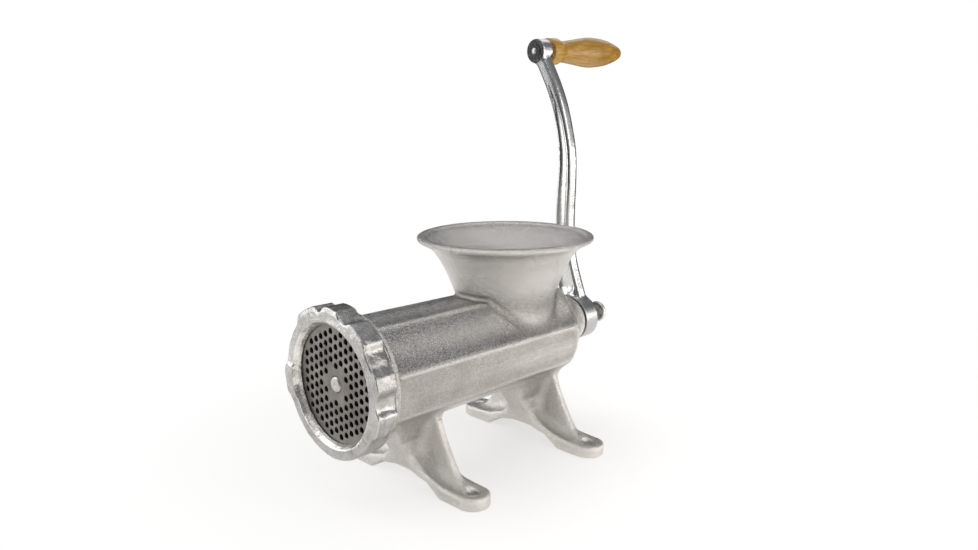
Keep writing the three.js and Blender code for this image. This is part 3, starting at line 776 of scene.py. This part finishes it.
def loop_points(x, z, radius, count):
    return [(x + radius * math.cos(2 * math.pi * k / count), z + radius * math.sin(2 * math.pi * k / count))
            for k in range(count)]


def plate_rim():
    """The plate's round edge with the key's notch."""
    notch = KEY_R + 0.35
    for x, z in loop_points(0, 0, PLATE_R, 168):
        from_key = math.hypot(x, z + KEY_RADIUS)
        if from_key < notch:
            x, z = x * notch / from_key, max((z + KEY_RADIUS) * notch / from_key, 0.2) - KEY_RADIUS
        yield x, z


def grinding_plate():
    """A drilled plate: both faces pierced by every hole, each hole's rim eased."""
    ease = 0.25
    rim = list(plate_rim())
    inset = 1 - ease / PLATE_R
    holes = [(x, z, HOLE_R, 20) for x, z in hole_centres()] + [(0.0, 0.0, STUD_R + 0.35, 48)]
    flat_loops = [[(x * inset, z * inset) for x, z in rim]]
    flat_loops += [loop_points(x, z, radius + ease, count) for x, z, radius, count in holes]
    walls = [rim] + [loop_points(*hole) for hole in holes]
    flat, loops = [], []
    for outline in flat_loops:
        loops.append(list(range(len(flat), len(flat) + len(outline))))
        flat += [Vector(p) for p in outline]
    verts, _, triangles, origins, _, regions = delaunay_2d_cdt(flat, [], loops, 1, 1e-5)
    sheet = [t for t, inside in zip(triangles, regions) if set(inside) == {0}]
    points = [(v.x, PLATE_FRONT, v.y + AXIS_Z) for v in verts]
    half = len(points)
    points += [(x, PLATE_REAR, z) for x, _, z in points]
    faces = [tuple(t) for t in sheet] + [tuple(i + half for i in reversed(t)) for t in sheet]
    vertex_of = {source: i for i, sources in enumerate(origins) for source in sources}
    for loop, wall in zip(loops, walls):
        rings = [[vertex_of[i] for i in loop]]
        for y in (PLATE_FRONT + ease, PLATE_REAR - ease):
            rings.append(range(len(points), len(points) + len(wall)))
            points += [(x, y, z + AXIS_Z) for x, z in wall]
        rings.append([i + half for i in rings[0]])
        faces += skin(rings)
    obj = mesh_object("plate_look", points, faces)
    with editing(obj) as work:
        bmesh.ops.recalc_face_normals(work, faces=work.faces)
    return finish_edges(obj, 30)


def stud():
    centre = STUD_FRONT + 0.35
    behind = PLATE_REAR + GAP
    return lathed("stud_look", [(0, centre), (1.2, centre), (1.7, STUD_FRONT), (5.3, STUD_FRONT),
                                (STUD_R, STUD_FRONT + 0.9), (STUD_R, behind), (STUD_SHANK_R, behind),
                                (STUD_SHANK_R, STUD_END), (0, STUD_END)], rounding=0.25)


# ---- the auger
AUGER_FRONT, AUGER_REAR, AUGER_PITCH, AUGER_CORE_R, AUGER_R = 30.5, 232.9, 44.0, 15.0, 37.9
DRIVE_WIDTH, DRIVE_FRONT, TANG_WIDTH, TANG_END = 15.0, 17.7, 14.0, 297.3


def flight_radius(away):
    """The auger's radius that many degrees from the middle of its flight's tip."""
    if away <= 19:
        radius = AUGER_R
    elif away <= 31:
        radius = AUGER_CORE_R + (AUGER_R - AUGER_CORE_R) * (1 - (away - 19) / 12) ** 1.25
    elif away <= 52:
        radius = AUGER_CORE_R + 1.4 * (1 - (away - 31) / 21) ** 2
    else:
        radius = AUGER_CORE_R
    return min(radius, AUGER_R - 0.05)


def auger():
    """A left-hand flight swept along the barrel, with its square drive, shaft and tang."""
    count, steps = 96, 150
    angles = [-math.pi + 2 * math.pi * k / count for k in range(count)]
    around = [(angle, flight_radius(abs(math.degrees(angle)))) for angle in angles]
    points = []
    for i in range(steps + 1):
        forward = (AUGER_REAR - AUGER_FRONT) * i / steps
        turn = 2 * math.pi * forward / AUGER_PITCH
        points += [(radius * math.sin(angle + turn), AUGER_REAR - forward,
                    AXIS_Z + radius * math.cos(angle + turn)) for angle, radius in around]
    rings = [range(i * count, (i + 1) * count) for i in range(steps + 1)]
    faces = skin(rings) + [tuple(rings[0]), tuple(reversed(rings[-1]))]
    flight = finish_edges(mesh_object("auger_look", points, faces), 40)
    shaft = lathed("shaft", [(0, AUGER_REAR - 1), (20, AUGER_REAR - 1), (SHAFT_R, AUGER_REAR - 0.2),
                             (SHAFT_R, HUB_FRONT - GAP), (0, HUB_FRONT - GAP)], segments=64)
    drive = square_bar("drive", DRIVE_WIDTH, DRIVE_FRONT, AUGER_FRONT + 1)
    tang = square_bar("tang", TANG_WIDTH, HUB_FRONT - 1, TANG_END)
    return joined("auger_look", [flight, shaft, drive, tang])


def square_bar(name, size, y0, y1):
    h = size / 2
    points = [(x * h, y, AXIS_Z + z * h) for y in (y0, y1) for x, z in ((-1, -1), (1, -1), (1, 1), (-1, 1))]
    faces = [(0, 1, 2, 3), (7, 6, 5, 4)] + [(k, (k + 1) % 4, (k + 1) % 4 + 4, k + 4) for k in range(4)]
    obj = mesh_object(name, points, faces)
    with editing(obj) as work:
        bmesh.ops.recalc_face_normals(work, faces=work.faces)
        bmesh.ops.bevel(work, geom=work.edges[:], offset=0.5 * MM, segments=2, profile=0.5, affect="EDGES")
    return finish_edges(obj)


# ---- the crank
ARM_LINE = [(0, 0), (-8.6, 29), (-14.6, 64), (-16.3, 97), (-14.5, 135), (-14.5, 157), (-17.5, 176),
            (-23.6, 199), (-31.9, 219), (-41.1, 236), (EYE_X, EYE_Z - AXIS_Z)]  # x, height above the axis
ARM_FRONT, ARM_REAR = 284.1, 297.9
ARM_MIDDLE = (ARM_FRONT + ARM_REAR) / 2
ARM_HALF_WIDTH, ARM_WIDENING, ARM_FLARE = 6.8, 2.1, 5.2  # at the top, more below, and more at the hub
CHANNEL_MARGIN, CHANNEL_SHIFT, CHANNEL_DEPTH = 3.3, 0.8, 2.9  # the shift is towards the arm's hollow side
CHANNEL_FROM, CHANNEL_POINT, CHANNEL_TO = 0.125, 0.72, 0.86  # shares of the arm's length


def along_arm(block, first, last):
    """For each (x, z): how far it is to the right of that stretch of the arm's middle line, the arm's half
    width there, and the share of the arm's length."""
    line = np.array(catmull(ARM_LINE, 24))
    length = np.concatenate([[0], np.cumsum(np.linalg.norm(np.diff(line, axis=0), axis=1))])
    heights = line[:, 1]
    kept = line[(length >= first * length[-1]) & (length <= last * length[-1])]
    x, z = np.broadcast_arrays(block.x[:, 0, :], block.up[0, :, :])
    nearest = np.full(x.shape, 1e9, np.float32)
    side, height = np.zeros((2, *x.shape), np.float32)
    for (ax, az), (bx, bz) in zip(kept[:-1], kept[1:]):
        ex, ez = bx - ax, bz - az
        t = np.clip(((x - ax) * ex + (z - az) * ez) / (ex * ex + ez * ez), 0, 1)
        away = np.hypot(x - ax - ex * t, z - az - ez * t)
        closer = away < nearest
        nearest = np.where(closer, away, nearest)
        side = np.where(closer, np.sign((x - ax) * ez - (z - az) * ex), side)
        height = np.where(closer, az + ez * t, height)
    half = (ARM_HALF_WIDTH + ARM_WIDENING * (1 - smooth_step(height, 100, 205))
            + ARM_FLARE * (1 - smooth_step(height, 15, 66)))
    share = np.interp(height, heights, length / length[-1])
    return (nearest * side)[:, None, :], half[:, None, :], share[:, None, :]


def arm(block):
    """The arm with its rounded sides and the channel sunk in both faces."""
    away, half, _ = along_arm(block, 0.02, 0.985)
    bar = block.slab(np.abs(away) - half, ARM_FRONT, ARM_REAR, 5.2)
    away, half, share = along_arm(block, CHANNEL_FROM, CHANNEL_TO)
    half = (half - CHANNEL_MARGIN) * (1.08 - smooth_step(share, CHANNEL_POINT, CHANNEL_TO))
    across = (away + CHANNEL_SHIFT) / half
    into = (ARM_MIDDLE - ARM_FRONT - np.abs(block.y - ARM_MIDDLE)) / CHANNEL_DEPTH
    channel = (np.sqrt(across**2 + np.maximum(into, 0)**2) - 1) * np.minimum(half, CHANNEL_DEPTH)
    return cut(bar, channel, 1.0)


def round_end(block, radius, front, rear, centre=AXIS):
    profile = [(0, front + 0.1), (radius, front + 0.1), (radius, rear - 0.1), (0, rear - 0.1)]
    return block.turned(softened(profile, 1.6), centre)


def crank():
    block = Block((-66, 279.5, AXIS_Z - 24), (25, 301, 369), fine=0.6, quick=1.1)
    body = union(arm(block), round_end(block, HUB_R - 0.1, HUB_FRONT, HUB_REAR), 2.5)
    body = union(body, round_end(block, EYE_R - 0.15, EYE_FRONT, EYE_REAR, EYE), 2.5)
    body = body + 0.12 * block.waves(26)
    square = soft_max(np.abs(block.x), np.abs(block.up), 0.8) - (TANG_WIDTH / 2 + 0.35)
    bore = np.hypot(block.x - EYE_X, block.z - EYE_Z) - (SPINDLE_NECK_R + GAP)
    obj = block.mesh("crank_look", cut(body, np.minimum(square, bore), 0.5))
    p, normal = surface(obj)
    forward = smooth_step(-normal[:, 1], 0.5, 0.9)
    at_eye = 1 - smooth_step(np.hypot(p[:, 0] - EYE_X, p[:, 2] - EYE_Z), 11.0, 12.5)
    at_hub = 1 - smooth_step(np.hypot(p[:, 0], p[:, 2] - AXIS_Z), 20.0, 22.0)
    upper = smooth_step(p[:, 2], 262, 318) * (1 - at_eye)
    # The front faces of the eye, the hub and the upper arm are dulled: worn plating, darkened partly as
    # painted shade.
    give(obj, "dull_and_shaded", forward * np.maximum(np.maximum(at_eye, 0.6 * at_hub), 0.55 * upper))
    give(obj, "satin", at_hub)
    return obj


WING_RADIUS, WING_ANGLE, WING_LOBE_R = 15.0, 70, 9.9  # where each ear's middle is, and its size
WING_HALF = 2.0  # half the ears' thickness
DISH_R, DISH_OUT = 18.2, 18.9  # the ball that dishes each face
WING_SCREW_R = 5.0


def wing_ear(block, side, middle):
    """A lobe on a neck that widens towards it, dished on both faces."""
    x, up = polar(side * WING_RADIUS, WING_ANGLE)
    away = np.hypot(block.x - x, block.up - up)
    lobe = block.slab(away - WING_LOBE_R, middle - WING_HALF, middle + WING_HALF, 1.7)
    along = (block.x * x + block.up * up) / WING_RADIUS
    across = np.abs(block.x * up - block.up * x) / WING_RADIUS
    neck = np.maximum(across - 1.2 - 0.33 * np.clip(along, 0, 18), np.abs(along - 9) - 8)
    neck = block.slab(neck, middle - WING_HALF, middle + WING_HALF, 1.5)
    ear = union(lobe, neck, 2.0)
    for face in (-1, 1):
        ball = np.sqrt(away**2 + (block.y - middle - face * DISH_OUT) ** 2) - DISH_R
        ear = cut(ear, ball, 0.5)
    return ear


def wing_screw():
    front = WASHER_REAR + GAP
    block = Block((-28, 269, AXIS_Z - 20), (28, front + 12.5, AXIS_Z + 20), fine=0.45, quick=0.9)
    body = block.turned(softened([(0, front), (9.4, front), (9.4, front + 2.4), (7.9, front + 4.6),
                                  (7.2, front + 8.8), (5.4, front + 10.3), (0, front + 10.4)], 0.9))
    for side in (1, -1):
        body = union(body, wing_ear(block, side, front + 3.6), 1.4)
    shank = block.turned([(0, 270.8), (WING_SCREW_R - 0.4, 270.8), (WING_SCREW_R, 271.4),
                          (WING_SCREW_R, front + 1), (0, front + 1)])
    return block.mesh("wing_look", np.minimum(body, shank))


def spindle():
    front = EYE_FRONT - GAP
    head = [(0, front - 2.3), (1.6, front - 2.2), (2.8, front - 1.7), (3.4, front - 1.0), (4.4, front - 0.7),
            (6.3, front - 0.5), (7, front)]
    shank = [(SPINDLE_NECK_R, front), (SPINDLE_NECK_R, EYE_REAR), (SPINDLE_R, EYE_REAR),
             (SPINDLE_R, SPINDLE_END), (0, SPINDLE_END)]
    obj = lathed("spindle_look", head + shank, EYE, 64, rounding=0.2)
    p, _ = surface(obj)
    across = np.hypot(p[:, 0] - EYE_X, p[:, 2] - EYE_Z)
    # The rivet head's front is dulled as worn plating and darkened partly as painted shade, its middle less.
    give(obj, "dull_and_shaded", (p[:, 1] < front) * (0.35 + 0.65 * smooth_step(across, 2.4, 3.6)))
    return obj


def grip():
    """The wooden grip with its bead at the crank's end and the hole for the spindle."""
    hole = [(0, SPINDLE_END + 1.4), (SPINDLE_R + 0.4, SPINDLE_END + 1.4), (SPINDLE_R + 0.4, GRIP_START)]
    bead = [(11.6, GRIP_START), (12.4, 300.9), (12.65, 302.2), (12.65, 311.8), (12.3, 312.9),
            (11.6, 314), (10.7, 317)]
    swell = catmull([(10.2, 321), (10.5, 326), (12.2, 340), (14.4, 357), (14.7, 368), (13.3, 384),
                     (10.7, 396), (8.3, 404), (6.2, 409.3), (4.2, 412.2)], 8)
    return lathed("grip_look", hole + bead + swell + [(2.2, 413.3), (0, 413.55)], EYE, rounding=0)


# ---- build every piece
KEY_OUTLINE = [(0, KEY_FRONT), (KEY_R, KEY_FRONT), (KEY_R, KEY_END), (0, KEY_END)]
for made, node, body, slot in (
        (casting(), "body_casting", "casing", "tinned_casting"),
        (ring_nut(), "ring_nut", "ring", "ring_casting"),
        (grinding_plate(), "grinding_plate", "plate", "plate_steel"),
        (bevelled_copy("knife_look", "knife", 0.35), "knife", "drive", "tool_steel"),
        (stud(), "auger_stud", "drive", "tool_steel"),
        (auger(), "auger", "drive", "auger_casting"),
        (crank(), "crank_arm", "drive", "nickel_plate"),
        (wing_screw(), "wing_screw", "wing", "screw_plate"),
        (spindle(), "grip_spindle", "drive", "nickel_plate"),
        (grip(), "grip", "handle", "grip_wood"),
        (ring_of("grip_washer_look", 9.5, SPINDLE_R + GAP, EYE_REAR + GAP, GRIP_START - GAP, EYE),
         "grip_washer", "drive", "screw_plate"),
        (ring_of("crank_washer_look", 13, WING_SCREW_R + GAP, HUB_REAR + GAP, WASHER_REAR),
         "crank_washer", "washer", "screw_plate"),
        (ring_of("bush_look", BUSH_R, SHAFT_R + 0.5, BORE_END + GAP, BOSS_END),
         "rear_bush", "casing", "bush_bronze"),
        (ring_of("thrust_look", 26, SHAFT_R + GAP, AUGER_REAR + GAP, BORE_END - GAP),
         "thrust_washer", "casing", "washer_fibre"),
        (lathed("key_look", KEY_OUTLINE, (0, AXIS_Z - KEY_RADIUS), 24), "plate_key", "casing", "tool_steel")):
    place(made, node, body, slot)


# ---- floor, light and camera
WHITE = (1, 1, 1, 1)
FLOOR_GLOW = (0.14, 0.32, 0.22, 0.6)  # between these distances it rises from the third to the fourth
DARK_SPOT = (-0.1, -0.1, 0)  # the distances count from here, so the floor is darker on the left
DIM = [(0.0, (0.06, 0.06, 0.062)), (0.35, (0.15, 0.15, 0.155)), (1.0, (0.36, 0.365, 0.375))]
BRIGHT = [(0.0, (1.15, 1.12, 1.07)), (0.4, (0.85, 0.85, 0.85)), (1.0, (0.36, 0.365, 0.375))]
BRIGHT_SIDES = [((-0.707, -0.707, 0), 0.6), ((0.966, 0.259, 0), 1.0)]  # walls left and right, how bright
CAMERA_AT = (0.538996, -0.561764, 0.325070)
CAMERA_RIGHT, CAMERA_UP = (0.6993083, 0.7148049, -0.0046644), (-0.1488735, 0.1520220, 0.9771008)


def floor():
    """A near-white floor with a soft shadow. The camera sees it run on white; for the metal it ends in the
    room.
    """
    bpy.ops.mesh.primitive_circle_add(vertices=96, radius=6.0, fill_type="NGON", location=(0, 0, -0.0002))
    disc = bpy.context.object
    disc.name = "floor"
    n = Nodes(bpy.data.materials.new("floor"))
    away = n.add("VectorMath", {0: n.where}, operation="LENGTH").outputs["Value"]
    from_spot = n.add("VectorMath", {0: n.where, 1: DARK_SPOT}, operation="DISTANCE").outputs["Value"]
    near = n.add("BsdfPrincipled", {"Base Color": (0.8, 0.785, 0.765, 1), "Roughness": 0.9,
                                    "Emission Color": (1, 0.98, 0.95, 1),
                                    "Emission Strength": n.remap(from_spot, *FLOOR_GLOW)}).outputs[0]
    seen = n.blend(n.fade(away, -0.3, 0.45), near, n.add("Emission", {"Color": WHITE}).outputs[0])
    met = n.blend(n.fade(away, 0.35, 1.0), near, n.add("BsdfTransparent").outputs[0])
    n.add("OutputMaterial", {"Surface": n.by_ray(seen, met)})
    disc.data.materials.append(n.owner)


def height_ramp(n, height, stops):
    """Light whose colour goes from the horizon and below, at 0, to straight up, at 1."""
    ramp = n.add("ValToRGB", {0: height})
    elements = ramp.color_ramp.elements
    for element, (position, color) in zip(elements, (stops[0], stops[-1])):
        element.position, element.color = position, (*color, 1)
    for position, color in stops[1:-1]:
        elements.new(position).color = (*color, 1)
    return n.add("Background", {"Color": ramp.outputs[0]}).outputs[0]


def surroundings():
    """White where the camera sees it. For the metal a room that is dim before and behind the object and
    bright to its left and right, so that round shapes carry dark edges."""
    world = bpy.data.worlds.new("room")
    bpy.context.scene.world = world
    n = Nodes(world, "Generated")
    height = n.add("SeparateXYZ", {"Vector": n.where}).outputs["Z"]
    room, bright = height_ramp(n, height, DIM), height_ramp(n, height, BRIGHT)
    for side, strength in BRIGHT_SIDES:
        towards = n.add("VectorMath", {0: n.where, 1: side}, operation="DOT_PRODUCT").outputs["Value"]
        room = n.blend(n.fade(towards, 0.6, 0.88, strength), room, bright)
    white = n.add("Background", {"Color": WHITE}).outputs[0]
    n.add("OutputWorld", {"Surface": n.by_ray(white, room)})


def softbox(name, azimuth, elevation, distance, size, power, color=(1, 1, 1)):
    """A rectangular light that faces the grinder. Azimuth 0 is in front of the plate."""
    light = bpy.data.lights.new(name, "AREA")
    light.shape = "RECTANGLE"
    light.size, light.size_y = size
    light.energy = power
    light.color = color
    obj = linked(name, light)
    a, e = math.radians(azimuth), math.radians(elevation)
    where = Vector((math.sin(a) * math.cos(e), -math.cos(a) * math.cos(e), math.sin(e))) * distance
    obj.location = where + Vector((0, 0, 0.15))
    obj.rotation_euler = where.to_track_quat("Z", "Y").to_euler()


def camera():
    data = bpy.data.cameras.new("camera")
    data.sensor_width, data.lens = 36.0, 32.523
    obj = linked("camera", data)
    right, up = Vector(CAMERA_RIGHT), Vector(CAMERA_UP)
    turn = Matrix((right, up, right.cross(up))).transposed().to_4x4()
    obj.matrix_world = Matrix.Translation(CAMERA_AT) @ turn
    bpy.context.scene.camera = obj


floor()
surroundings()
softbox("top", 20, 78, 1.5, (1.3, 1.3), 4.5)
softbox("left", -42, 36, 1.5, (0.7, 1.1), 6)
softbox("right", 98, 20, 1.5, (0.4, 1.1), 3.5, (1.0, 0.94, 0.88))
softbox("behind", 205, 35, 1.6, (0.7, 0.7), 1.5)
softbox("low_left", -48, 3, 1.1, (0.9, 0.35), 2.0)
softbox("low_right", 125, 3, 1.1, (0.9, 0.35), 2.5, (1.0, 0.93, 0.86))
camera()
bpy.context.scene.view_settings.view_transform = "Standard"
